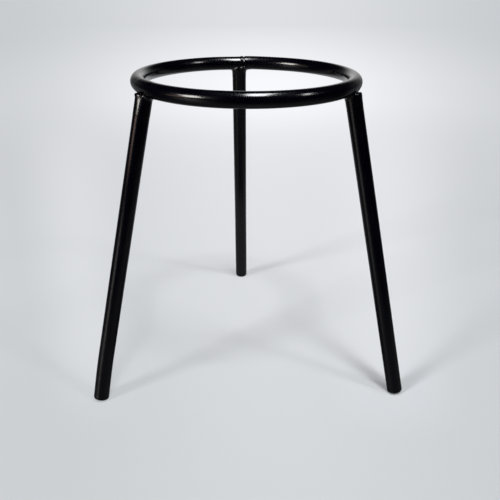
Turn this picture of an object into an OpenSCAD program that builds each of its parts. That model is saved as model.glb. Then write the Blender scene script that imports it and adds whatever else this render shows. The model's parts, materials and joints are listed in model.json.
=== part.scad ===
// Welded wire tripod stand for a laboratory bench. One ring bent from round
// rod carries a vessel or a wire gauze, and three splayed legs of slightly
// thicker rod hold it over a spirit lamp or a burner. Millimetres, +Z up. The
// origin is on the ring's axis, at the level of the bench.

/* [Ring] */
// Diameter of the ring, measured to the middle of its rod
ring_d = 90; // [70:1:130]
// Diameter of the ring's rod, with its coat of enamel
ring_rod_d = 6.2; // [4.5:0.1:8]
// Height of the ring's top above the bench
stand_h = 138.1; // [100:0.1:200]

/* [Legs] */
// Diameter of the legs' rod, with its coat of enamel
leg_rod_d = 6.7; // [5:0.1:8]
// Diameter of the circle on which the legs' axes meet the bench
foot_circle_d = 156.5; // [130:0.5:200]
// Distance of the legs' axes outside the middle of the ring's rod, at its height
leg_outset = 0.7; // [0:0.1:1.5]
// Radius on the rim of each foot
foot_round = 0.5; // [0.2:0.1:1]
// Radius on the rim of each leg's upper end
top_round = 0.4; // [0.2:0.1:1]

/* [Leg placing] */
// Direction of the first foot, seen from above, from +X towards +Y
first_foot_angle = 210; // [0:1:359]
// How far the left leg's top is welded round from its foot, in degrees
left_swing = 0; // [-3:0.1:3]
// How far the right leg's top is welded round from its foot, in degrees
right_swing = 2; // [-3:0.1:3]
// How far the back leg's top is welded round from its foot, in degrees
back_swing = 2.4; // [-3:0.1:3]

/* [Welds] */
// Depth to which a leg's end is pressed into the ring's underside
weld_sink = 0.8; // [0.4:0.1:1.2]
// How much the weld's pressure spreads a leg's end, on its radius
weld_spread = 0.15; // [0.05:0.05:0.4]
// Radius of the hollow fillet between a leg and the ring
weld_fillet = 1.7; // [0.8:0.1:2.5]
// Thickness of the weld metal that clings to the ring beside a leg
weld_skin = 0.7; // [0.3:0.1:1.2]
// Direction of the butt weld that closes the ring
seam_angle = 90; // [0:1:359]
// Length of the butt weld along the ring
seam_length = 1.6; // [1:0.1:3]
// Height to which the butt weld stands proud of the ring's rod
seam_proud = 0.15; // [0.05:0.05:0.4]

/* [Hidden] */

$fn = 96;
enamel_black = [0.03, 0.03, 0.035];
weld_black = [0.06, 0.06, 0.065];

ring_r = ring_d / 2;
ring_rod_r = ring_rod_d / 2;
ring_z = stand_h - ring_rod_r;
leg_rod_r = leg_rod_d / 2;
foot_circle_r = foot_circle_d / 2;
leg_spacing = 120;
seam_span = seam_length / ring_r * 180 / PI;

// Each leg's own numbers: the direction of its foot and the swing of its top
LEFT = [first_foot_angle, left_swing];
RIGHT = [first_foot_angle + leg_spacing, right_swing];
BACK = [first_foot_angle + 2 * leg_spacing, back_swing];

function around(radius, angle, z) = [radius * cos(angle), radius * sin(angle), z];

// The leg's axis runs from foot_point, on the bench, to crown_point, level
// with the middle of the ring's rod.
function foot_point(leg) = around(foot_circle_r, leg[0], 0);
function crown_point(leg) = around(ring_r + leg_outset, leg[0] + leg[1], ring_z);
function run(leg) = crown_point(leg) - foot_point(leg);
function splay(leg) = acos(run(leg)[2] / norm(run(leg)));
function heading(leg) = atan2(run(leg)[1], run(leg)[0]);

// Lengths along the axis, from the bench up. The foot is cut square to the
// rod, so it stands on the inner side of its rounded rim.
function foot_at(leg) =
    (foot_round + (leg_rod_r - foot_round) * sin(splay(leg))) / cos(splay(leg)) - foot_round;
function ring_underside_at(leg) = (ring_z - ring_rod_r) / cos(splay(leg));
function top_at(leg) = ring_underside_at(leg) + weld_sink;
function weld_from(leg) = ring_underside_at(leg) - weld_fillet;

// Places its children on a leg's axis, with +Z up the leg
module on_leg(leg, along) {
    translate(foot_point(leg))
        rotate([0, splay(leg), heading(leg)])
            translate([0, 0, along])
                children();
}

// A full turn of the ring's rod, with its radius grown by extra
module ring_tube(extra = 0) {
    translate([0, 0, ring_z])
        rotate_extrude()
            translate([ring_r, 0])
                circle(r = ring_rod_r + extra);
}

// A straight rod with one rounded rim, at its lower end, where its radius is
// larger by spread
module rounded_rod(length, rim, spread = 0) {
    end_r = leg_rod_r + spread;
    rotate_extrude() {
        square([end_r - rim, length / 2]);
        polygon([[0, rim], [end_r, rim], [leg_rod_r, length], [0, length]]);
        intersection() {
            translate([end_r - rim, rim])
                circle(r = rim);
            square([end_r, rim]);
        }
    }
}

// The hollow fillet, turned about the leg's axis. It is tangent to the rod at
// the bottom and level with the ring's underside at the top.
module fillet_collar() {
    outer_r = leg_rod_r + weld_fillet;
    rotate_extrude()
        difference() {
            square([outer_r, weld_fillet + ring_rod_r]);
            translate([outer_r, 0])
                circle(r = weld_fillet);
        }
}

// The ring's rod, bent to a circle, with its two cut ends a weld apart
module ring() {
    color(enamel_black)
        translate([0, 0, ring_z])
            rotate([0, 0, seam_angle + seam_span / 2])
                rotate_extrude(angle = 360 - seam_span)
                    translate([ring_r, 0])
                        circle(r = ring_rod_r);
}

// The butt weld between the ring's two ends, a little fatter than the rod
module weld_ring_seam() {
    color(weld_black)
        translate([0, 0, ring_z])
            rotate([0, 0, seam_angle - seam_span / 2])
                rotate_extrude(angle = seam_span)
                    translate([ring_r, 0])
                        circle(r = ring_rod_r + seam_proud);
}

// One leg: straight rod from its rounded foot to where the weld metal begins
module leg(leg) {
    color(enamel_black)
        on_leg(leg, foot_at(leg))
            rounded_rod(weld_from(leg) - foot_at(leg), foot_round);
}

// The fused end of a leg: the rod's square-cut end, pressed into the ring and
// spread a little, and the fillet of weld metal that runs from it onto the ring
module leg_weld(leg) {
    color(weld_black)
        difference() {
            union() {
                on_leg(leg, top_at(leg))
                    mirror([0, 0, 1])
                        rounded_rod(top_at(leg) - weld_from(leg), top_round, weld_spread);
                intersection() {
                    on_leg(leg, weld_from(leg))
                        fillet_collar();
                    ring_tube(weld_skin);
                }
            }
            ring_tube();
            weld_ring_seam();
        }
}

module leg_left() { leg(LEFT); }
module leg_right() { leg(RIGHT); }
module leg_back() { leg(BACK); }
module weld_left() { leg_weld(LEFT); }
module weld_right() { leg_weld(RIGHT); }
module weld_back() { leg_weld(BACK); }

ring();
leg_left();
leg_right();
leg_back();
weld_left();
weld_right();
weld_back();
weld_ring_seam();
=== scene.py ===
"""The looks of a welded rod tripod stand for a laboratory bench.

A ring bent from round rod stands on three splayed legs. The rods, the welds
between them and the butt weld that closes the ring are each a piece of their
own, dipped in gloss black enamel. The stand's places and sizes come from the
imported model, and the sizes that only the eye needs are fields of the classes
below, in millimetres.
"""

import json
import logging
import math
from dataclasses import dataclass, field
from enum import Enum
from typing import Any, Iterable, Mapping

import bpy
import numpy as np
from mathutils import Matrix, Vector

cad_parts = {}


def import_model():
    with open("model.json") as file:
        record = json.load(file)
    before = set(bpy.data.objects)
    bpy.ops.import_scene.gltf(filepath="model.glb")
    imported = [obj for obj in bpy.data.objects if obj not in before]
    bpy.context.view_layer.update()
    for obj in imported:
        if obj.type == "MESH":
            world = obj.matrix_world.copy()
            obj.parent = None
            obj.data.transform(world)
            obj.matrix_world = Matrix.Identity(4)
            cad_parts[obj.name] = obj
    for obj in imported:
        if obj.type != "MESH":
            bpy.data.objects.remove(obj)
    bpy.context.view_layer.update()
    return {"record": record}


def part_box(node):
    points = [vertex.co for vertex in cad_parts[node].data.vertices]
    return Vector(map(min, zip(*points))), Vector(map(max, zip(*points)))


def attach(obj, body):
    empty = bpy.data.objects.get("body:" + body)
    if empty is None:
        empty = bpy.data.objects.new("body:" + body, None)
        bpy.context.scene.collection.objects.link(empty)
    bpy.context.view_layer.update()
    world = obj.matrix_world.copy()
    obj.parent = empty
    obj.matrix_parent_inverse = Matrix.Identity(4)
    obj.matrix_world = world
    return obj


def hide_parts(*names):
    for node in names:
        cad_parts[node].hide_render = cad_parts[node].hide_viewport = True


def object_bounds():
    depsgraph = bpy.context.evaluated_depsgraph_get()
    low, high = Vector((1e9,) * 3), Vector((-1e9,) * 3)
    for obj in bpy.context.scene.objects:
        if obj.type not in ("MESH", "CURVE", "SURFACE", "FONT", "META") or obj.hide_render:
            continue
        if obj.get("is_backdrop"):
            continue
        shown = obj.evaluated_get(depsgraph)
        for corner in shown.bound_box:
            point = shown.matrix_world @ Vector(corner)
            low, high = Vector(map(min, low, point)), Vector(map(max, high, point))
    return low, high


MM = 0.001
VECTOR_SUM = "ShaderNodeVectorMath"
Number = float | bpy.types.NodeSocket

log = logging.getLogger("tripod_stand")


class LegName(Enum):
    """The three legs, as a person facing the stand names them."""

    LEFT = "left"
    RIGHT = "right"
    BACK = "back"


class Slot(Enum):
    """The record's material slots for the rod and the weld; the pieces here take their finish from
    BlackEnamel instead.
    """

    ROD = "enamelled_rod"
    WELD = "enamelled_weld"


@dataclass(frozen=True)
class Fade:
    """A level that goes from start, at low, to end, at high, and no further."""

    low: Number
    high: Number
    start: Number = 0.0
    end: Number = 1.0
    smooth: bool = True


# --- Small tools ---


def linear(colour: str) -> tuple[float, float, float, float]:
    """Turns an sRGB colour into the linear one that a shader takes.

    Args:
        colour: The colour as "#rrggbb".

    Returns:
        Red, green and blue in linear light, and an alpha of one.
    """
    parts = [int(colour[i : i + 2], 16) / 255 for i in (1, 3, 5)]
    r, g, b = (c / 12.92 if c <= 0.04045 else ((c + 0.055) / 1.055) ** 2.4 for c in parts)
    return (r, g, b, 1.0)


def add_node(
    tree: bpy.types.NodeTree,
    kind: str,
    settings: Mapping[str, Any] | None = None,
    inputs: Mapping[int | str, Any] | None = None,
) -> bpy.types.Node:
    """Adds one node, sets it up and links what comes into it.

    Args:
        tree: The shader or geometry tree that the node goes into.
        kind: The node's type, such as "ShaderNodeMath".
        settings: The node's own properties.
        inputs: For each input, by name or by number, its value, or the socket
            that is linked to it, or a node whose first output is.

    Returns:
        The new node.
    """
    node = tree.nodes.new(kind)
    for name, value in (settings or {}).items():
        setattr(node, name, value)
    for name, value in (inputs or {}).items():
        socket = node.inputs[name]
        if isinstance(value, bpy.types.Node):
            value = value.outputs[0]
        if isinstance(value, bpy.types.NodeSocket):
            tree.links.new(value, socket)
        else:
            socket.default_value = value
    return node


def work_out(
    tree: bpy.types.NodeTree,
    known: dict[Any, Any],
    steps: Iterable[tuple[Any, ...]],
) -> None:
    """Adds a chain of nodes, in which each may use the results of those before.

    Args:
        tree: The tree that the nodes go into.
        known: The results so far, by name. Each step's is added to it.
        steps: Each node's name, then its sum or its Fade, then what goes into
            it, as numbers or as names of results.
    """
    for name, how, *terms in steps:
        kind, settings = "ShaderNodeMath", {"operation": how}
        values = [known.get(term, term) for term in terms]
        if isinstance(how, Fade):
            kind = "ShaderNodeMapRange"
            settings = {"interpolation_type": "SMOOTHSTEP" if how.smooth else "LINEAR"}
            values += [how.low, how.high, how.start, how.end]
        known[name] = add_node(tree, kind, settings, dict(enumerate(values)))


def smoothstep(low: float, high: float, x: np.ndarray) -> np.ndarray:
    """Rises smoothly from 0 at low to 1 at high.

    Args:
        low: Where the rise starts.
        high: Where it ends.
        x: The values to turn.

    Returns:
        The share of the rise at each value.
    """
    t = np.clip((x - low) / (high - low), 0.0, 1.0)
    return t * t * (3.0 - 2.0 * t)


def smooth_union(a: np.ndarray, b: np.ndarray, reach: np.ndarray | float) -> np.ndarray:
    """Joins two distance fields with a rounded hollow between them.

    Args:
        a: Distances to the first solid.
        b: Distances to the second solid.
        reach: How far from the joint the hollow starts, in millimetres.

    Returns:
        Distances to the joined solid.
    """
    h = np.maximum(reach - np.abs(a - b), 0.0) / reach
    return np.minimum(a, b) - h * h * reach / 4.0


def surface_net(values: np.ndarray, low: np.ndarray, step: float) -> tuple[np.ndarray, np.ndarray]:
    """Wraps the zero level of a sampled field in four-sided faces.

    Args:
        values: The field on a regular grid, negative inside.
        low: The grid's lowest corner, in millimetres.
        step: The grid's spacing, in millimetres.

    Returns:
        The corners' places and the faces' corner numbers.
    """
    cells = tuple(n - 1 for n in values.shape)
    total = np.zeros(cells + (3,))
    count = np.zeros(cells)
    crossings = []
    for axis in range(3):
        u, w = [k for k in range(3) if k != axis]
        first = [slice(None)] * 3
        second = [slice(None)] * 3
        first[axis], second[axis] = slice(0, -1), slice(1, None)
        a, b = values[tuple(first)], values[tuple(second)]
        cross = (a < 0) != (b < 0)
        place = np.stack(np.indices(a.shape), -1).astype(float)
        place[..., axis] += np.where(cross, a / np.where(cross, a - b, 1.0), 0.0)
        for du in (0, 1):
            for dw in (0, 1):
                part = [slice(None)] * 3
                part[u] = slice(du, du + cells[u])
                part[w] = slice(dw, dw + cells[w])
                hit = cross[tuple(part)]
                total += place[tuple(part)] * hit[..., None]
                count += hit
        crossings.append((axis, u, w, cross, a < 0))
    active = count > 0
    number = np.full(cells, -1)
    number[active] = np.arange(int(active.sum()))
    corners = low + step * total[active] / count[active][:, None]
    faces = []
    for axis, u, w, cross, inside in crossings:
        at = np.argwhere(cross)
        at = at[(at[:, u] > 0) & (at[:, u] < cells[u]) & (at[:, w] > 0) & (at[:, w] < cells[w])]
        quad = []
        for du, dw in ((1, 1), (0, 1), (0, 0), (1, 0)):
            cell = at.copy()
            cell[:, u] -= du
            cell[:, w] -= dw
            quad.append(number[tuple(cell.T)])
        quad = np.stack(quad, 1)
        turned = inside[tuple(at.T)] == (axis == 1)
        quad[turned] = quad[turned][:, ::-1]
        faces.append(quad)
    return corners, np.concatenate(faces)


def new_object(name: str, data: bpy.types.ID) -> bpy.types.Object:
    """Puts an object with this data into the scene."""
    made = bpy.data.objects.new(name, data)
    bpy.context.scene.collection.objects.link(made)
    return made


def blank_tree(owner: bpy.types.Material | bpy.types.World) -> bpy.types.NodeTree:
    """Gives a material or a world a node tree with nothing in it."""
    owner.use_nodes = True
    owner.node_tree.nodes.clear()
    return owner.node_tree


def settle(piece: bpy.types.Object) -> bpy.types.Object:
    """Turns what a piece's Geometry Nodes make into its own plain mesh.

    Args:
        piece: The object that carries the modifier.

    Returns:
        The same object, with the made mesh and no modifier.
    """
    bpy.context.view_layer.update()
    graph = bpy.context.evaluated_depsgraph_get()
    made = bpy.data.meshes.new_from_object(piece.evaluated_get(graph), depsgraph=graph)
    piece.modifiers.clear()
    piece.data = made
    made.name = piece.name
    return piece


def grown(name: str, tree: bpy.types.NodeTree, sizes: Mapping[str, Any]) -> bpy.types.Object:
    """Makes a piece from a Geometry Nodes tree and its named sizes.

    Args:
        name: The piece's name.
        tree: The tree that makes it.
        sizes: The value of each of the tree's inputs, by its name.

    Returns:
        The piece, as a plain mesh at the origin.
    """
    piece = new_object(name, bpy.data.meshes.new(name))
    modifier = piece.modifiers.new(tree.name, "NODES")
    modifier.node_group = tree
    for item in tree.interface.items_tree:
        if item.item_type == "SOCKET" and item.in_out == "INPUT" and item.name in sizes:
            modifier[item.identifier] = sizes[item.name]
    return settle(piece)


def new_tree(
    name: str,
    sizes: Mapping[str, Iterable[str]],
) -> tuple[bpy.types.NodeTree, dict[Any, Any]]:
    """Starts a Geometry Nodes tree that makes a mesh from named sizes.

    Args:
        name: The tree's name.
        sizes: The inputs' names, by the kind of their sockets.

    Returns:
        The tree, and its inputs by name.
    """
    tree = bpy.data.node_groups.new(name, "GeometryNodeTree")
    tree.interface.new_socket("Geometry", in_out="OUTPUT", socket_type="NodeSocketGeometry")
    for kind, labels in sizes.items():
        for label in labels:
            tree.interface.new_socket(label, in_out="INPUT", socket_type=f"NodeSocket{kind}")
    return tree, dict(add_node(tree, "NodeGroupInput").outputs.items())


def sweep_rod(
    tree: bpy.types.NodeTree,
    known: Mapping[Any, Any],
    count: Any,
    place: Any,
    radius: Number,
    scale: Any = 1.0,
) -> None:
    """Ends a tree: a round section swept along points, as real mesh in its finish.

    Args:
        tree: The tree to end.
        known: Its inputs by name, of which Around and Material are used here.
        count: The number of points.
        place: Where each point is.
        radius: The section's radius.
        scale: What the radius is multiplied by at each point.
    """
    section = add_node(
        tree,
        "GeometryNodeCurvePrimitiveCircle",
        inputs={"Resolution": known["Around"], "Radius": radius},
    )
    made = add_node(tree, "GeometryNodeCurvePrimitiveLine")
    for kind, inputs in (
        ("GeometryNodeResampleCurve", {"Count": count}),
        ("GeometryNodeSetPosition", {"Position": place}),
        ("GeometryNodeCurveToMesh", {"Profile Curve": section, "Scale": scale, "Fill Caps": True}),
        ("GeometryNodeSetShadeSmooth", {}),
        ("GeometryNodeRealizeInstances", {}),
        ("GeometryNodeSetMaterial", {"Material": known["Material"]}),
        ("NodeGroupOutput", {}),
    ):
        made = add_node(tree, kind, inputs={0: made, **inputs})


def hand_over(piece: bpy.types.Object, node: str) -> None:
    """Puts a piece on the stand in place of its CAD node, and reports it.

    Args:
        piece: The finished piece.
        node: The CAD node that it stands for.
    """
    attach(piece, "root")
    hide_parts(node)
    triangles = sum(len(p.vertices) - 2 for p in piece.data.polygons)
    log.info("%s: %d triangles, %s", piece.name, triangles, piece.data.materials[0].name)


# --- Finishes ---


@dataclass(frozen=True)
class BlackEnamel:
    """Stoving enamel, dipped and baked: a hard gloss black skin on the steel.

    It gives the eye an almost black body and sharp bright streaks. Their edges
    waver with the skin's orange peel, and here and there a speck of dust is
    baked in.
    """

    name: str
    body: str = "#000006"
    dusty: str = "#020108"
    roughness_clean: float = 0.16
    roughness_handled: float = 0.2
    ior: float = 1.5
    handled: Fade = Fade(0.42, 0.7, smooth=False)
    peel_pitch: float = 1.8
    peel_detail: float = 1.0
    peel_height: float = 0.0022
    grain_pitch: float = 0.5
    grain_detail: float = 2.0
    grain_height: float = 0.00015
    nib_pitch: float = 4.5
    nib_size: float = 0.16
    nib_height: float = 0.008
    patch_pitch: float = 14.0
    patch_detail: float = 3.0
    patch_roughness: float = 0.55

    def build(self) -> bpy.types.Material:
        """Builds the material on Object coordinates.

        Returns:
            The material.
        """
        material = bpy.data.materials.new(self.name)
        tree = blank_tree(material)
        place = add_node(tree, "ShaderNodeTexCoord").outputs["Object"]

        # Handling: fingers and cloths dull the gloss in patches
        patches = add_node(
            tree,
            "ShaderNodeTexNoise",
            inputs={
                "Vector": place,
                "Scale": 1 / (self.patch_pitch * MM),
                "Detail": self.patch_detail,
                "Roughness": self.patch_roughness,
            },
        )
        cells = add_node(
            tree,
            "ShaderNodeTexVoronoi",
            inputs={"Vector": place, "Scale": 1 / (self.nib_pitch * MM)},
        )
        dulled = Fade(0.0, 1.0, self.roughness_clean, self.roughness_handled, smooth=False)
        # Dust nibs are low round pimples, far apart
        pimple = Fade(0.0, self.nib_size / self.nib_pitch, 1.0, 0.0)
        known = {"patches": patches.outputs["Fac"], "distance": cells.outputs["Distance"]}
        steps = (
            ("handled", self.handled, "patches"),
            ("roughness", dulled, "handled"),
            ("nibs", pimple, "distance"),
        )
        work_out(tree, known, steps)
        colour = add_node(
            tree,
            "ShaderNodeMix",
            {"data_type": "RGBA"},
            {0: known["handled"], 6: linear(self.body), 7: linear(self.dusty)},
        )

        # Orange peel, the slow swell left where the enamel stopped flowing, and
        # the drawn rod's own grain, which shows faintly through the skin
        reliefs = []
        for pitch, detail, height in (
            (self.peel_pitch, self.peel_detail, self.peel_height),
            (self.grain_pitch, self.grain_detail, self.grain_height),
        ):
            waves = add_node(
                tree,
                "ShaderNodeTexNoise",
                inputs={"Vector": place, "Scale": 1 / (pitch * MM), "Detail": detail},
            )
            reliefs.append((waves.outputs["Fac"], height))
        reliefs.append((known["nibs"], self.nib_height))
        below: dict[str, Any] = {}
        for relief, height in reliefs:
            bump = add_node(
                tree,
                "ShaderNodeBump",
                inputs={"Height": relief, "Strength": 1.0, "Distance": height * MM, **below},
            )
            below = {"Normal": bump.outputs["Normal"]}

        skin = add_node(
            tree,
            "ShaderNodeBsdfPrincipled",
            inputs={
                "Base Color": colour.outputs[2],
                "Roughness": known["roughness"],
                "IOR": self.ior,
                **below,
            },
        )
        add_node(tree, "ShaderNodeOutputMaterial", inputs={"Surface": skin.outputs["BSDF"]})
        return material


# --- The stand ---


@dataclass(frozen=True)
class LegAxis:
    """One leg's centre line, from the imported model, in millimetres."""

    name: LegName
    foot: Vector
    up: Vector
    radius: float


@dataclass(frozen=True)
class StandPlan:
    """The sizes that all the pieces share, in millimetres."""

    ring_radius: float
    ring_rod_radius: float
    ring_height: float
    legs: tuple[LegAxis, ...]
    seam_angle: float
    seam_length: float

    @classmethod
    def from_frame(cls, record: Mapping[str, Any]) -> "StandPlan":
        """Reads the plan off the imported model's boxes and its mounts.

        Args:
            record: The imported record.

        Returns:
            The plan.
        """
        low, high = (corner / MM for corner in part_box("ring"))
        rod_radius = (high.z - low.z) / 2
        seam_low, seam_high = (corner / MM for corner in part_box("weld_ring_seam"))
        seam_middle = (seam_low + seam_high) / 2
        mounts = {m["name"]: m for m in record["mounts"]}
        legs = []
        for name in LegName:
            mount = mounts[f"leg_end_{name.value}"]
            legs.append(
                LegAxis(
                    name,
                    Vector(mount["pos_m"]) / MM,
                    -Vector(mount["axis"]).normalized(),
                    mount["dims"]["r_mm"],
                )
            )
        return cls(
            ring_radius=(high.x - low.x) / 2 - rod_radius,
            ring_rod_radius=rod_radius,
            ring_height=(high.z + low.z) / 2,
            legs=tuple(legs),
            seam_angle=math.atan2(seam_middle.y, seam_middle.x),
            seam_length=seam_high.x - seam_low.x,
        )

    def under_ring(self, leg: LegAxis) -> float:
        """Length along a leg from its mount's point to the level of the ring's underside."""
        return (self.ring_height - self.ring_rod_radius - leg.foot.z) / leg.up.z

    def ring_distance(self, p: np.ndarray, lift: np.ndarray | float = 0.0) -> np.ndarray:
        """Distances from points to the ring's rod.

        Args:
            p: The points, in millimetres.
            lift: How far the rod's middle stands above its plane there.

        Returns:
            The distances, negative inside the rod.
        """
        out = np.hypot(p[..., 0], p[..., 1]) - self.ring_radius
        return np.hypot(out, p[..., 2] - self.ring_height - lift) - self.ring_rod_radius


@dataclass
class Ring:
    """The ring: one rod bent round, with its two ends a weld apart.

    The bender left the ends a little out of line, one above the other, and
    that dies away along the rod.
    """

    plan: StandPlan
    material: bpy.types.Material
    end_lift: float = 0.13
    spring: float = 0.06
    along: int = 384
    around: int = 48

    @staticmethod
    def tree() -> bpy.types.NodeTree:
        """Makes the Geometry Nodes tree that sweeps the rod round the ring.

        Returns:
            The tree.
        """
        radii, turns = ("Ring Radius", "Rod Radius"), ("Start Angle", "Sweep")
        tree, known = new_tree(
            "bent ring rod",
            {
                "Float": (*radii, "Height", *turns, "End Lift", "Spring"),
                "Int": ("Along", "Around"),
                "Material": ("Material",),
            },
        )
        known["share"] = add_node(tree, "GeometryNodeSplineParameter").outputs["Factor"]
        bent = Fade(0.0, known["Spring"], known["End Lift"], 0.0)
        steps = (
            ("angle", "MULTIPLY_ADD", "share", "Sweep", "Start Angle"),
            ("x", "COSINE", "angle"),
            ("x", "MULTIPLY", "x", "Ring Radius"),
            ("y", "SINE", "angle"),
            ("y", "MULTIPLY", "y", "Ring Radius"),
            # The first end lies low and the last one high
            ("drop", bent, "share"),
            ("level", "SUBTRACT", "Height", "drop"),
            ("back", "SUBTRACT", 1.0, "share"),
            ("rise", bent, "back"),
            ("level", "ADD", "level", "rise"),
        )
        work_out(tree, known, steps)
        place = {number: known[name] for number, name in enumerate(("x", "y", "level"))}
        place = add_node(tree, "ShaderNodeCombineXYZ", inputs=place)
        sweep_rod(tree, known, known["Along"], place, known["Rod Radius"])
        return tree

    def build(self) -> bpy.types.Object:
        """Makes the ring's rod and puts it on the stand.

        Returns:
            The piece.
        """
        plan = self.plan
        gap = plan.seam_length / plan.ring_radius
        piece = grown(
            "ring_rod",
            self.tree(),
            {
                "Ring Radius": plan.ring_radius * MM,
                "Rod Radius": plan.ring_rod_radius * MM,
                "Height": plan.ring_height * MM,
                "Start Angle": plan.seam_angle + gap / 2,
                "Sweep": 2 * math.pi - gap,
                "End Lift": self.end_lift * MM,
                "Spring": self.spring,
                "Along": self.along,
                "Around": self.around,
                "Material": self.material,
            },
        )
        hand_over(piece, "ring")
        return piece


@dataclass
class Leg:
    """One leg: a straight rod, cut square, with the foot's rim broken.

    The mount's point on the axis is where the broken rim ends and the straight
    rod starts, so the foot itself is one rim lower. Where cropping kicked the
    rod's last stretch a little to one side, kick says how far, along X.
    """

    plan: StandPlan
    axis: LegAxis
    material: bpy.types.Material
    rim: float = 0.5
    hidden_top: float = 1.2
    kick: float = 0.0
    kick_length: float = 20.0
    kick_bend: float = 1.4
    straight: int = 120
    rim_steps: int = 8
    around: int = 56

    @staticmethod
    def tree() -> bpy.types.NodeTree:
        """Makes the Geometry Nodes tree that all three legs share.

        Returns:
            The tree.
        """
        kicks = ("Kick", "Kick Length", "Kick Bend")
        tree, known = new_tree(
            "straight leg rod",
            {
                "Vector": ("Foot", "Up"),
                "Float": ("Length", "Rod Radius", "Rim", *kicks),
                "Int": ("Rim Steps", "Straight Steps", "Around"),
                "Material": ("Material",),
            },
        )
        known["number"] = add_node(tree, "GeometryNodeInputIndex")
        steps = (
            ("steps", "ADD", "Rim Steps", "Straight Steps"),
            ("count", "ADD", "steps", 1.0),
            # The first points turn a quarter circle round the rim
            ("share", "DIVIDE", "number", "Rim Steps"),
            ("share", "MINIMUM", "share", 1.0),
            ("turned", "MULTIPLY", "share", math.pi / 2),
            ("low", "COSINE", "turned"),
            ("low", "SUBTRACT", 1.0, "low"),
            ("low", "MULTIPLY", "low", "Rim"),
            # The rest go straight up
            ("beyond", "SUBTRACT", "number", "Rim Steps"),
            ("beyond", "MAXIMUM", "beyond", 0.0),
            ("beyond", "DIVIDE", "beyond", "Straight Steps"),
            ("run", "SUBTRACT", "Length", "Rim"),
            ("along", "MULTIPLY_ADD", "beyond", "run", "low"),
            # The section widens over the rim
            ("flat", "SUBTRACT", "Rod Radius", "Rim"),
            ("bulge", "SINE", "turned"),
            ("radius", "MULTIPLY_ADD", "bulge", "Rim", "flat"),
            # The cropped end's kick, which dies away up the rod
            ("fading", "DIVIDE", "along", "Kick Length"),
            ("fading", "SUBTRACT", 1.0, "fading"),
            ("fading", "MAXIMUM", "fading", 0.0),
            ("fading", "POWER", "fading", "Kick Bend"),
            ("aside", "MULTIPLY", "fading", "Kick"),
        )
        work_out(tree, known, steps)
        step = add_node(
            tree, VECTOR_SUM, {"operation": "SCALE"}, {0: known["Up"], "Scale": known["along"]}
        )
        kicked = add_node(tree, "ShaderNodeCombineXYZ", inputs={"X": known["aside"]})
        place = known["Foot"]
        for shift in (step, kicked):
            place = add_node(tree, VECTOR_SUM, {"operation": "ADD"}, {0: place, 1: shift})
        sweep_rod(tree, known, known["count"], place, 1.0, known["radius"])
        return tree

    def build(self, tree: bpy.types.NodeTree) -> bpy.types.Object:
        """Makes the leg and puts it on the stand.

        Args:
            tree: The tree from Leg.tree.

        Returns:
            The piece.
        """
        node = f"leg_{self.axis.name.value}"
        piece = grown(
            f"{node}_rod",
            tree,
            {
                "Foot": (self.axis.foot - self.axis.up * self.rim) * MM,
                "Up": self.axis.up,
                "Length": (self.plan.under_ring(self.axis) + self.rim - self.hidden_top) * MM,
                "Rod Radius": self.axis.radius * MM,
                "Rim": self.rim * MM,
                "Kick": self.kick * MM,
                "Kick Length": self.kick_length * MM,
                "Kick Bend": self.kick_bend,
                "Rim Steps": self.rim_steps,
                "Straight Steps": self.straight,
                "Around": self.around,
                "Material": self.material,
            },
        )
        hand_over(piece, node)
        return piece


@dataclass
class FusedMetal:
    """Weld metal under enamel, as a solid that is wrapped round a distance field."""

    plan: StandPlan
    material: bpy.types.Material
    node: str
    seed: int
    step: float = 0.2
    margin: float = 0.4
    rounds: int = 3
    least_slope: float = 0.2
    lump_pitch: float = 1.7
    lump_height: float = 0.05
    wave_count: int = 14
    longest_wave: float = 1.6
    shortest_wave: float = 0.7
    waves: np.ndarray = field(init=False)
    phases: np.ndarray = field(init=False)

    def __post_init__(self) -> None:
        """Draws the slow waves that make the metal lumpy."""
        rng = np.random.default_rng(self.seed)
        ways = rng.normal(size=(self.wave_count, 3))
        ways /= np.linalg.norm(ways, axis=1)[:, None]
        spread = rng.uniform(self.shortest_wave, self.longest_wave, (self.wave_count, 1))
        self.waves = ways * (2 * math.pi / (self.lump_pitch * spread))
        self.phases = rng.uniform(0, 2 * math.pi, self.wave_count)

    def lumps(self, p: np.ndarray) -> np.ndarray:
        """Height of the lumps at each point, in millimetres."""
        heights = np.sin(p @ self.waves.T + self.phases).sum(-1)
        return self.lump_height * heights / math.sqrt(self.wave_count / 2)

    def bounds(self) -> tuple[np.ndarray, np.ndarray]:
        """The lowest and highest corner of the box that holds the metal."""
        raise NotImplementedError

    def distance(self, p: np.ndarray) -> np.ndarray:
        """Distance from points to the metal's surface, negative inside."""
        raise NotImplementedError

    def gradient(self, p: np.ndarray, nudge: float = 0.01) -> np.ndarray:
        """Slope of the distance at each point, by small nudges.

        Args:
            p: The points, in millimetres.
            nudge: The length of a nudge.

        Returns:
            The slope along X, Y and Z.
        """
        slope = []
        for axis in range(3):
            away = np.zeros(3)
            away[axis] = nudge
            slope.append((self.distance(p + away) - self.distance(p - away)) / (2 * nudge))
        return np.stack(slope, -1)

    def build(self) -> bpy.types.Object:
        """Wraps the metal in a mesh and puts it on the stand.

        Returns:
            The piece.
        """
        low, high = self.bounds()
        ticks = [np.arange(a, b + self.step, self.step) for a, b in zip(low, high)]
        grid = np.stack(np.meshgrid(*ticks, indexing="ij"), -1)
        corners, faces = surface_net(self.distance(grid), low, self.step)
        for _ in range(self.rounds):
            slope = self.gradient(corners)
            size = np.maximum((slope * slope).sum(-1), self.least_slope)
            pull = np.clip(self.distance(corners) / size, -self.step / 2, self.step / 2)
            corners = corners - slope * pull[:, None]
        mesh = bpy.data.meshes.new(self.node)
        mesh.from_pydata((corners * MM).tolist(), [], faces.tolist())
        mesh.validate()
        mesh.shade_smooth()
        mesh.materials.append(self.material)
        piece = new_object(f"{self.node}_metal", mesh)
        hand_over(piece, self.node)
        return piece


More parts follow.
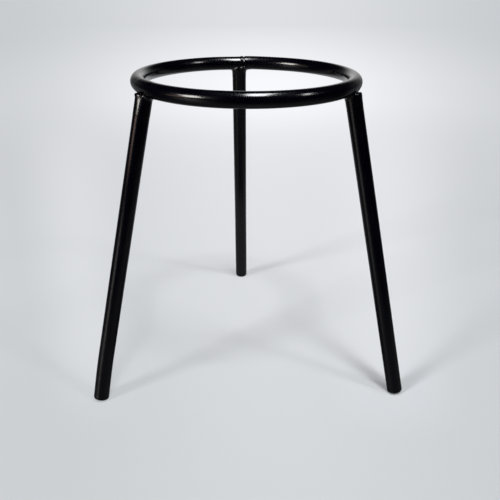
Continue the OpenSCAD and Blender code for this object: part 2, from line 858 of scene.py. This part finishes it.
@dataclass
class LegWeld(FusedMetal):
    """Where a leg meets the ring: the rod's fused end and the bead round it.

    The rod is cut square and pressed into the ring's underside. The bead is
    full at the leg's sides and towards the ring's middle, and thin outside,
    where the rod's edge shows as a small ledge beside the ring. Down the leg
    the metal thins to a skin, and sinks into the rod before it is cut off.
    """

    axis: LegAxis | None = None
    sink: float = 0.8
    spread: float = 0.35
    edge: float = 0.5
    full_reach: float = 2.0
    thin_reach: float = 0.7
    thin_from: float = 0.1
    thin_to: float = 0.75
    plain_lumps: float = 0.03
    bead_lumps: float = 1.1
    bead_width: float = 1.6
    bead_depth: float = 1.2
    core: float = 0.5
    skin: float = 0.05
    skin_sink: float = 0.4
    skin_from: float = 4.6
    skin_to: float = 8.6
    cut: float = 9.0
    spread_from: float = -2.5
    spread_to: float = 0.0
    dent_slope: float = 0.0
    dent_from: float = -9.5
    dent_to: float = -0.5
    dent_bearing: float = 252.0
    dent_focus: int = 4
    drops: tuple[tuple[float, float, float, float], ...] = ()
    drop_reach: float = 0.2

    def joint(self) -> np.ndarray:
        """The point on the leg's axis at the level of the ring's underside."""
        return np.array(self.axis.foot + self.axis.up * self.plan.under_ring(self.axis))

    def bounds(self) -> tuple[np.ndarray, np.ndarray]:
        """The box round the joint that the metal lies in."""
        return self.joint() - self.cut - self.margin, self.joint() + self.cut + self.margin

    def distance(self, p: np.ndarray) -> np.ndarray:
        """Distance from points to the fused joint.

        Args:
            p: The points, in millimetres.

        Returns:
            The distances, negative inside.
        """
        joint, up = self.joint(), np.array(self.axis.up)
        away = p - joint
        height = away @ up
        side = away - height[..., None] * up
        off = np.linalg.norm(side, axis=-1)
        far = np.linalg.norm(away, axis=-1)

        # The rod's fused end, which spreads, with a dent at one side of it
        bearing = math.radians(self.dent_bearing)
        facing = side @ np.array([math.cos(bearing), math.sin(bearing), 0.0])
        facing = facing / np.maximum(off, self.core)
        facing = np.maximum(facing, 0.0) ** self.dent_focus if self.dent_slope else 0.0
        run = self.dent_to - self.dent_from
        part = np.clip((height - self.dent_from) / run, 0.0, 1.0)
        beyond = np.maximum(height - self.dent_to, 0.0)
        dent = self.dent_slope * (run * part**3 * (1 - part / 2) + beyond)
        widened = self.spread * smoothstep(self.spread_from, self.spread_to, height) * (1 - facing)
        q0 = off - (self.axis.radius + widened - dent * facing - self.edge)
        q1 = height - (self.sink - self.edge)
        rod = (
            np.hypot(np.maximum(q0, 0), np.maximum(q1, 0))
            + np.minimum(np.maximum(q0, q1), 0)
            - self.edge
        )
        ring = self.plan.ring_distance(p)

        # The bead between the rod and the ring
        out = joint * np.array([1.0, 1.0, 0.0])
        out /= np.linalg.norm(out)
        outward = (side @ out) / np.maximum(off, self.core)
        thinned = smoothstep(self.thin_from, self.thin_to, outward)
        reach = self.full_reach + (self.thin_reach - self.full_reach) * thinned
        metal = smooth_union(rod, ring, reach)
        apart = np.abs(rod - ring) / self.bead_width
        above = np.minimum(rod, ring) / self.bead_depth
        near_bead = np.exp(-(apart**2) - above**2)
        metal = metal - self.lumps(p) * (self.plain_lumps + self.bead_lumps * near_bead)

        # Drops: each one's place along the ring, outward and up, and its radius
        tangent = np.cross(np.array([0.0, 0.0, 1.0]), out)
        for along, outer, rise, size in self.drops:
            centre = joint + tangent * along + out * outer + np.array([0.0, 0.0, rise])
            drop = np.linalg.norm(p - centre, axis=-1) - size
            metal = smooth_union(metal, drop, self.drop_reach)
        sunk = smoothstep(self.skin_from, self.skin_to, far)
        skin = self.skin - (self.skin + self.skin_sink) * sunk
        return np.maximum(metal - skin, far - self.cut)


@dataclass
class RingSeam(FusedMetal):
    """The butt weld that closes the ring: a low ridge with a crease along it.

    Across it the rod steps from its one end's height to the other's.
    """

    step: float = 0.12
    margin: float = 0.8
    lump_height: float = 0.03
    ridge: float = 0.07
    ridge_width: float = 0.9
    crease: float = 0.36
    crease_width: float = 0.55
    crease_at: float = 0.4
    step_at: float = -1.0
    step_half: float = 0.3
    end_lift: float = 0.13
    edge_from: float = 1.3
    edge_sink: float = 0.3
    cut: float = 2.4

    def bounds(self) -> tuple[np.ndarray, np.ndarray]:
        """The box round the seam."""
        plan = self.plan
        x, y = math.cos(plan.seam_angle), math.sin(plan.seam_angle)
        middle = np.array([plan.ring_radius * x, plan.ring_radius * y, plan.ring_height])
        half = np.array([self.cut, plan.ring_rod_radius, plan.ring_rod_radius]) + self.margin
        return middle - half, middle + half

    def distance(self, p: np.ndarray) -> np.ndarray:
        """Distance from points to the seam's metal.

        Args:
            p: The points, in millimetres.

        Returns:
            The distances, negative inside.
        """
        plan = self.plan
        turn = np.arctan2(p[..., 1], p[..., 0]) - plan.seam_angle
        along = -turn * plan.ring_radius
        stepped = smoothstep(-self.step_half, self.step_half, along - self.step_at)
        lift = self.end_lift * (2 * stepped - 1)
        rod = plan.ring_distance(p, lift)
        ridge = self.ridge * np.exp(-((along / self.ridge_width) ** 2))
        crease = self.crease * np.exp(-(((along - self.crease_at) / self.crease_width) ** 2))
        edge = smoothstep(self.edge_from, self.cut, np.abs(along))
        metal = rod - ridge * (1 - edge) + crease + self.edge_sink * edge
        metal = metal - self.lumps(p) * (1 - edge)
        return np.maximum(metal, np.abs(along) - self.cut)


@dataclass
class TripodStand:
    """The whole stand: ring, three legs and their welds."""

    plan: StandPlan
    rod_enamel: BlackEnamel = BlackEnamel("stoved_black_enamel_on_rod")
    weld_enamel: BlackEnamel = BlackEnamel(
        "stoved_black_enamel_on_weld",
        roughness_clean=0.2,
        roughness_handled=0.28,
        peel_pitch=1.1,
        peel_height=0.003,
    )
    first_leg_seed: int = 11
    seam_seed: int = 5

    def build(self) -> list[bpy.types.Object]:
        """Builds every piece of the stand, in the order it is made in.

        Returns:
            The pieces.
        """
        on_rod, on_weld = self.rod_enamel.build(), self.weld_enamel.build()
        pieces = [Ring(self.plan, on_rod).build()]
        leg_tree = Leg.tree()
        # The left leg ends inside its weld's skin, and its foot was cropped askew
        rods = {LegName.LEFT: {"hidden_top": 7.0, "kick": 0.5}}
        beads = {
            LegName.LEFT: {
                "lump_height": 0.02,
                "full_reach": 1.5,
                "spread": 0.36,
                "spread_from": -1.2,
                "spread_to": 0.6,
                "edge": 0.35,
                "dent_slope": 0.08,
                "skin_from": 7.6,
                "skin_to": 10.2,
                "cut": 10.4,
            },
            LegName.RIGHT: {
                "full_reach": 1.6,
                "spread": 0.1,
                "edge": 0.65,
                "drops": ((-2.4, -0.5, -0.9, 0.55), (2.5, 0.6, -1.1, 0.45)),
            },
            LegName.BACK: {
                "full_reach": 1.6,
                "spread": 0.15,
                "drops": (
                    (1.68, -3.7, 0.6, 0.9),
                    (-0.84, -3.96, 1.01, 0.7),
                    (-2.46, -4.18, 1.37, 0.5),
                ),
            },
        }
        for number, axis in enumerate(self.plan.legs):
            leg = Leg(self.plan, axis, on_rod, **rods.get(axis.name, {}))
            pieces.append(leg.build(leg_tree))
            node, seed = f"weld_{axis.name.value}", self.first_leg_seed + number
            weld = LegWeld(self.plan, on_weld, node, seed, axis=axis, **beads[axis.name])
            pieces.append(weld.build())
        seam = RingSeam(self.plan, on_weld, "weld_ring_seam", self.seam_seed)
        pieces.append(seam.build())
        return pieces


# --- The bench and the light ---


class LampUse(Enum):
    """What a lamp is hung for: streaks in the gloss, or light and shadow on the bench."""

    GLOSS = "gloss"
    BENCH = "bench"


@dataclass(frozen=True)
class Lamp:
    """One soft lamp: a long flat panel between two points, facing the ring."""

    name: str
    start: tuple[float, float, float]
    end: tuple[float, float, float]
    width: float
    radiance: float
    colour: str = "#ffffff"

    def build(self, aim: Vector, use: LampUse) -> bpy.types.Object:
        """Hangs the lamp.

        Args:
            aim: The point that it faces, in millimetres.
            use: What it is hung for.

        Returns:
            The lamp's object.
        """
        start, end = Vector(self.start), Vector(self.end)
        middle = (start + end) / 2
        along = (end - start).normalized()
        away = middle - aim
        away = (away - away.dot(along) * along).normalized()
        data = bpy.data.lights.new(self.name, "AREA")
        data.shape = "RECTANGLE"
        data.size, data.size_y = (end - start).length * MM, self.width * MM
        data.energy = self.radiance * math.pi * data.size * data.size_y
        data.color = linear(self.colour)[:3]
        lamp = new_object(self.name, data)
        turn = Matrix((along, away.cross(along), away)).transposed().to_4x4()
        lamp.matrix_world = Matrix.Translation(middle * MM) @ turn
        lamp.visible_camera = False
        lamp.visible_diffuse = use is LampUse.BENCH
        lamp.visible_glossy = use is LampUse.GLOSS
        log.info("%s: %.2f W", self.name, data.energy)
        return lamp


@dataclass(frozen=True)
class BenchLight:
    """How bright the bench is, by place, in metres and in radians.

    Depth runs along +Y, away from the camera, from a point fan_back in front of
    the stand. A ratio is X over that depth.
    """

    # A painted pool of light fans out beyond the stand, with a fainter painted patch at each side
    fan_back: float = 0.3
    least_depth: float = 0.05
    fan_ratio: float = 0.06
    fan: Fade = Fade(0.0, 0.46, 1.0, 0.0)
    right_ratio: float = 0.26
    right_patch: Fade = Fade(0.0, 0.15, 1.0, 0.0)
    left_ratio: float = -0.27
    left_patch: Fade = Fade(0.0, 0.1, 1.0, 0.0)
    # Painted levels by depth: the pool's, the even painted light's and the patches'
    rise: Fade = Fade(-0.25, 0.36, 0.0, 0.5, smooth=False)
    swell: Fade = Fade(0.33, 0.62, 0.0, 0.3)
    fall: Fade = Fade(0.8, 1.9, 1.0, 0.48, smooth=False)
    even: Fade = Fade(-0.15, 0.15, 0.05, 0.18)
    even_fall: Fade = Fade(0.5, 1.5, 1.0, 0.3)
    patch_rise: Fade = Fade(-0.07, 0.0, 0.0, 0.17)
    patch_fall: Fade = Fade(0.25, 0.6, 1.0, 0.0)
    # Painted shade in the bench's reflection: the gloss is shown the bench behind the stand, aside
    # and near, less of it close under the stand, and little of the rest
    reflection_slant: float = -0.35
    behind: Fade = Fade(0.01, 0.09, 0.87, 0.0)
    behind_from: Fade = Fade(0.08, 0.16)
    aside: Fade = Fade(math.radians(52), math.radians(80), 0.24, 0.0)
    near: Fade = Fade(0.12, 0.32, 0.1, 0.0)
    under: Fade = Fade(0.03, 0.09, 0.2, 1.0)
    least_reflection: float = 0.01
    # The lamps' share of what is seen, by distance from the stand and the feet
    lit: Fade = Fade(0.1, 0.7, 0.6, 0.0)
    lit_right: Fade = Fade(0.038 / 3, 0.038, 0.4, 0.0)
    lit_left: Fade = Fade(0.07 / 3, 0.07, -0.13, 0.0)


@dataclass
class Studio:
    """A plain pale bench top, soft lamps and the camera."""

    plan: StandPlan
    bench: BenchLight = BenchLight()
    bench_gain: float = 1.17
    # Painted colours of the bench: far for its even tone, glow for the brightest of the painted
    # pool of light
    far: str = "#c5c8ca"
    glow: str = "#fafbff"
    sheen_roughness: float = 0.5
    bench_radius: float = 6000.0
    bench_sides: int = 96
    room: str = "#858688"
    dark_room: float = 0.006
    backdrop_turn: float = math.radians(4)
    backdrop_middle: Fade = Fade(math.radians(2), math.radians(32), 0.74, 0.0)
    backdrop_sides: Fade = Fade(math.radians(20), math.radians(70), 0.15, 0.0)
    backdrop_top: Fade = Fade(0.2, 0.45, 1.0, 0.0)
    streaks: tuple[Lamp, ...] = (
        Lamp("overhead_streak", (-1, -138, 685), (133, -138, 668), 355.0, 27.0, "#fbfcff"),
        Lamp("window_streak", (-1756, -830, 692), (-1392, -1220, 946), 672.0, 19.6, "#fffaf2"),
        Lamp("sill_streak", (-1665, -1193, 280), (-2022, -318, 302), 230.0, 1.95, "#e8c4b4"),
        Lamp("right_streak", (1120, -508, 1265), (1227, -395, 1197), 590.0, 12.5),
    )
    lights: tuple[Lamp, ...] = (
        Lamp("overhead_light", (34, -488, 1545), (284, -488, 1545), 280.0, 43.0),
        Lamp("window_light", (-1370, -1170, 1010), (-1610, -835, 1010), 400.0, 37.0),
        Lamp("right_light", (905, -685, 1120), (1010, -515, 1120), 200.0, 29.0),
    )
    camera_place: tuple[float, float, float] = (-9.74, -252.084, 176.406)
    camera_yaw: float = -2.6446
    camera_pitch: float = 25.6958
    camera_roll: float = 0.3396
    camera_lens: float = 42.043

    def bench_material(self) -> bpy.types.Material:
        """Pale laminate, pressed from resin-soaked paper under a matt top sheet.

        It gives the eye an even ground, with a painted pool of light beyond the stand, and faint
        shadows near it, where the lamps light it. What the gloss shows of it is painted darker,
        save behind, aside and near the stand: painted shade in its reflection.

        Returns:
            The material.
        """
        material = bpy.data.materials.new("pale_matt_laminate")
        tree = blank_tree(material)
        place = add_node(tree, "ShaderNodeTexCoord").outputs["Object"]
        known: dict[Any, Any] = dict(add_node(tree, "ShaderNodeLightPath").outputs.items())
        known.update(add_node(tree, "ShaderNodeSeparateXYZ", inputs={0: place}).outputs.items())
        known["distance"] = add_node(
            tree, VECTOR_SUM, {"operation": "LENGTH"}, {0: place}
        ).outputs["Value"]
        for leg in self.plan.legs:
            if leg.name is LegName.BACK:
                continue
            foot = leg.foot * MM
            known[leg.name] = add_node(
                tree,
                VECTOR_SUM,
                {"operation": "DISTANCE"},
                {0: place, 1: (foot.x, foot.y, 0.0)},
            ).outputs["Value"]

        bench = self.bench
        steps = (
            # The painted pool of light, a little to the right, and a painted patch at each side
            ("depth", "ADD", "Y", bench.fan_back),
            ("depth", "MAXIMUM", "depth", bench.least_depth),
            ("ratio", "DIVIDE", "X", "depth"),
            ("right", "SUBTRACT", "ratio", bench.right_ratio),
            ("right", "ABSOLUTE", "right"),
            ("right", bench.right_patch, "right"),
            ("left", "SUBTRACT", "ratio", bench.left_ratio),
            ("left", "ABSOLUTE", "left"),
            ("left", bench.left_patch, "left"),
            ("patches", "ADD", "right", "left"),
            ("fan", "SUBTRACT", "ratio", bench.fan_ratio),
            ("fan", "ABSOLUTE", "fan"),
            ("fan", bench.fan, "fan"),
            ("rise", bench.rise, "Y"),
            ("swell", bench.swell, "Y"),
            ("fall", bench.fall, "Y"),
            ("even", bench.even, "Y"),
            ("even_fall", bench.even_fall, "Y"),
            ("patch_rise", bench.patch_rise, "Y"),
            ("patch_fall", bench.patch_fall, "Y"),
            ("pool", "ADD", "rise", "swell"),
            ("pool", "MULTIPLY", "pool", "fall"),
            ("even", "MULTIPLY", "even", "even_fall"),
            ("patch_level", "MULTIPLY", "patch_rise", "patch_fall"),
            ("even", "MULTIPLY_ADD", "patch_level", "patches", "even"),
            ("pool", "MULTIPLY_ADD", "pool", "fan", "even"),
            # Painted shade in the reflection: the gloss sees the bench behind the stand, aside and
            # near it, less close under it, and little of the rest
            ("across", "ABSOLUTE", "X"),
            ("edge", "MULTIPLY_ADD", "Y", bench.reflection_slant, "across"),
            ("behind", bench.behind, "edge"),
            ("behind_from", bench.behind_from, "Y"),
            ("behind", "MULTIPLY", "behind", "behind_from"),
            ("bearing", "ARCTAN2", "across", "Y"),
            ("aside", bench.aside, "bearing"),
            ("near", bench.near, "distance"),
            ("under", bench.under, "distance"),
            ("near", "MULTIPLY", "near", "under"),
            ("open", "MAXIMUM", "behind", "aside"),
            ("open", "MAXIMUM", "open", "near"),
            ("open", "ADD", "open", bench.least_reflection),
            # The lamps' own share of what is seen, so the shadows are as faint as
            # in a bright room. Close to the right foot they count in full, where
            # its shadow is deepest, and round the left foot they count less.
            ("lit", bench.lit, "distance"),
            ("local", bench.lit_right, LegName.RIGHT),
            ("lit", "ADD", "lit", "local"),
            ("local", bench.lit_left, LegName.LEFT),
            ("lit", "ADD", "lit", "local"),
            ("painted", "SUBTRACT", 1.0, "lit"),
            ("painted", "MAXIMUM", "painted", "Is Glossy Ray"),
            ("seen", "MAXIMUM", "Is Camera Ray", "Is Glossy Ray"),
            ("painted", "MULTIPLY", "painted", "seen"),
        )
        work_out(tree, known, steps)
        # The bench's painted colour: its even tone, lifted by the painted pool of light
        pale = add_node(
            tree,
            "ShaderNodeMix",
            {"data_type": "RGBA"},
            {0: known["pool"], 6: linear(self.far), 7: linear(self.glow)},
        ).outputs[2]
        shown = add_node(
            tree,
            "ShaderNodeMix",
            {"data_type": "FLOAT"},
            {0: known["Is Glossy Ray"], 2: 1.0, 3: known["open"]},
        )
        # The glow and the colour that the lamps light both carry the painted pool; for the gloss
        # the glow is cut down by the painted shade in the reflection
        own, lamplit = (
            add_node(tree, VECTOR_SUM, {"operation": "SCALE"}, {0: pale, "Scale": level})
            for level in (shown, self.bench_gain)
        )
        bright = add_node(tree, "ShaderNodeEmission", inputs={"Color": own})
        matt = add_node(tree, "ShaderNodeBsdfDiffuse", inputs={"Color": lamplit})
        # The laminate's own sheen, which the legs mirror low down
        sheen = add_node(
            tree,
            "ShaderNodeBsdfPrincipled",
            inputs={"Base Color": (0.0, 0.0, 0.0, 1.0), "Roughness": self.sheen_roughness},
        )
        both = add_node(
            tree, "ShaderNodeMixShader", inputs={0: known["painted"], 1: matt, 2: bright}
        )
        glossy = add_node(tree, "ShaderNodeAddShader", inputs={0: bright, 1: sheen})
        laminate = add_node(
            tree, "ShaderNodeMixShader", inputs={0: known["Is Glossy Ray"], 1: both, 2: glossy}
        )
        add_node(tree, "ShaderNodeOutputMaterial", inputs={"Surface": laminate})
        return material

    def build_bench(self) -> bpy.types.Object:
        """Lays the bench top at the level of the feet.

        Returns:
            The bench top.
        """
        reach, sides = self.bench_radius * MM, range(self.bench_sides)
        turns = [2 * math.pi * k / self.bench_sides for k in sides]
        rim = [(reach * math.cos(turn), reach * math.sin(turn), 0.0) for turn in turns]
        mesh = bpy.data.meshes.new("bench_top")
        mesh.from_pydata(rim, [], [tuple(sides)])
        mesh.materials.append(self.bench_material())
        bench = new_object("bench_top", mesh)
        bench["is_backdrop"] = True
        return bench

    def build_world(self) -> None:
        """Gives the room: dim, with the pale backdrop low down behind the stand."""
        world = bpy.data.worlds.new("dim_room")
        bpy.context.scene.world = world
        tree = blank_tree(world)
        way = add_node(tree, "ShaderNodeTexCoord").outputs["Generated"]
        known: dict[Any, Any] = dict(add_node(tree, "ShaderNodeLightPath").outputs.items())
        known.update(add_node(tree, "ShaderNodeSeparateXYZ", inputs={0: way}).outputs.items())
        steps = (
            ("turn", "ARCTAN2", "X", "Y"),
            ("turn", "SUBTRACT", "turn", self.backdrop_turn),
            ("turn", "ABSOLUTE", "turn"),
            ("middle", self.backdrop_middle, "turn"),
            ("sides", self.backdrop_sides, "turn"),
            ("across", "ADD", "middle", "sides"),
            ("top", self.backdrop_top, "Z"),
            ("backdrop", "MULTIPLY", "across", "top"),
            ("mirrored", "ADD", "backdrop", self.dark_room),
        )
        work_out(tree, known, steps)
        mirrored = add_node(
            tree, "ShaderNodeCombineColor", inputs=dict.fromkeys(range(3), known["mirrored"])
        )
        seen: Any = linear(self.room)
        for ray, light in (("Is Glossy Ray", mirrored), ("Is Camera Ray", linear(self.far))):
            seen = add_node(
                tree,
                "ShaderNodeMix",
                {"data_type": "RGBA"},
                {0: known[ray], 6: seen, 7: light},
            ).outputs[2]
        glow = add_node(tree, "ShaderNodeBackground", inputs={"Color": seen, "Strength": 1.0})
        add_node(tree, "ShaderNodeOutputWorld", inputs={"Surface": glow})

    def build_camera(self) -> bpy.types.Object:
        """Sets up the camera in front of the stand, a little above the ring.

        Returns:
            The camera.
        """
        turns = (self.camera_yaw, self.camera_pitch, self.camera_roll)
        yaw, pitch, roll = (math.radians(turn) for turn in turns)
        ahead = Vector(
            (-math.sin(yaw) * math.cos(pitch), math.cos(yaw) * math.cos(pitch), -math.sin(pitch))
        )
        right = Vector((math.cos(yaw), math.sin(yaw), 0.0))
        top = right.cross(ahead)
        across = math.cos(roll) * right + math.sin(roll) * top
        upright = -math.sin(roll) * right + math.cos(roll) * top
        data = bpy.data.cameras.new("front_camera")
        data.sensor_width = 36.0
        data.lens = self.camera_lens
        data.clip_start = 0.005
        data.clip_end = 20.0
        camera = new_object("front_camera", data)
        turn = Matrix((across, upright, -ahead)).transposed().to_4x4()
        camera.matrix_world = Matrix.Translation(Vector(self.camera_place) * MM) @ turn
        bpy.context.scene.camera = camera
        return camera

    def build(self) -> None:
        """Builds the bench, the room, the lamps and the camera."""
        self.build_bench()
        self.build_world()
        aim = Vector((0.0, 0.0, self.plan.ring_height))
        for use, lamps in ((LampUse.GLOSS, self.streaks), (LampUse.BENCH, self.lights)):
            for lamp in lamps:
                lamp.build(aim, use)
        self.build_camera()
        bpy.context.scene.view_settings.view_transform = "Standard"
        count = len(self.streaks) + len(self.lights)
        log.info("bench, room, %d lamps and camera are in place", count)


def corners() -> list[list[float]]:
    """The box of everything that belongs to the stand, as plain lists."""
    return [[float(v) for v in corner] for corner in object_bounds()]


def main() -> None:
    """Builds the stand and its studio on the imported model."""
    logging.basicConfig(level=logging.INFO, format="%(name)s: %(message)s")
    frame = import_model()
    plan = StandPlan.from_frame(frame["record"])
    pieces = TripodStand(plan).build()
    Studio(plan).build()
    log.info("%d pieces are on the stand", len(pieces))


if __name__ == "__main__":
    main()
